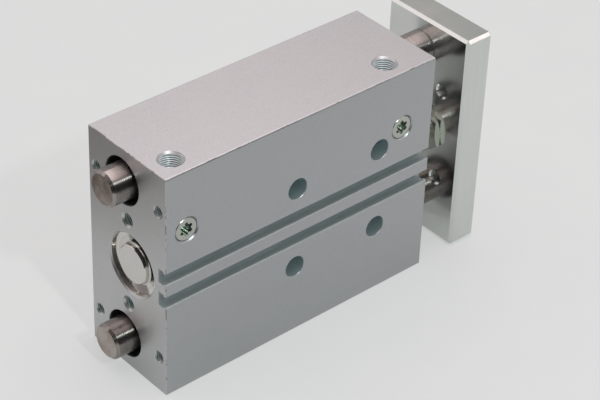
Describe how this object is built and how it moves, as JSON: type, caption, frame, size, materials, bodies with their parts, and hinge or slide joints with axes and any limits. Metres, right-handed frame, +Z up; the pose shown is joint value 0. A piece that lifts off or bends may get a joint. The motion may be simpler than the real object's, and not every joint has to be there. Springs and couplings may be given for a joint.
{
  "type": "guided pneumatic cylinder",
  "caption": "Compact air cylinder: a bored aluminium block with a piston between two guide rods that carry a square-edged yoke plate, with threaded ports and sensor slots.",
  "frame": {"origin": "middle of the housing's bottom face", "axes": "+X the way the plate travels out, -Y towards the broad side with the sensor slots and the sunk holes, +Z up towards the supply ports"},
  "size_m": [0.1645, 0.0434, 0.095],
  "materials": {
    "anodised_aluminium": "matte",
    "turned_aluminium": "polished",
    "ground_steel": "polished",
    "plated_steel": "satin",
    "phosphated_steel": "satin",
    "bearing_bronze": "satin",
    "nitrile_rubber": "matte",
    "polyurethane": "satin",
    "ferrite": "matte",
    "white_acetal": "matte"
  },
  "bodies": {
    "cylinder": {"housing": "anodised_aluminium", "rear_end_cap": "turned_aluminium", "rear_cap_o_ring": "nitrile_rubber", "rear_bumper": "polyurethane", "front_bearing_cap": "turned_aluminium", "front_cap_o_ring": "nitrile_rubber", "front_bumper": "polyurethane", "front_circlip": "phosphated_steel", "rod_bush": "bearing_bronze", "rod_seal": "polyurethane", "rod_wiper": "polyurethane", "rear_plug_screw": "plated_steel", "front_plug_screw": "plated_steel", "upper_rear_guide_bush": "bearing_bronze", "upper_front_guide_bush": "bearing_bronze", "upper_guide_wiper": "polyurethane", "lower_rear_guide_bush": "bearing_bronze", "lower_front_guide_bush": "bearing_bronze", "lower_guide_wiper": "polyurethane"},
    "carriage": {"yoke_plate": "plated_steel", "upper_guide_rod": "ground_steel", "lower_guide_rod": "ground_steel", "upper_guide_rod_screw": "plated_steel", "lower_guide_rod_screw": "plated_steel", "piston_rod": "ground_steel", "rod_lock_nut": "plated_steel", "rear_piston_half": "turned_aluminium", "front_piston_half": "turned_aluminium", "piston_magnet": "ferrite", "piston_wear_ring": "white_acetal", "rear_piston_seal": "polyurethane", "front_piston_seal": "polyurethane", "piston_rod_o_ring": "nitrile_rubber", "piston_nut": "plated_steel"}
  },
  "joints": [
    {"name": "plate_stroke", "type": "slide", "parent": "cylinder", "child": "carriage", "axis": [1, 0, 0], "range_m": [0, 0.08]}
  ]
}
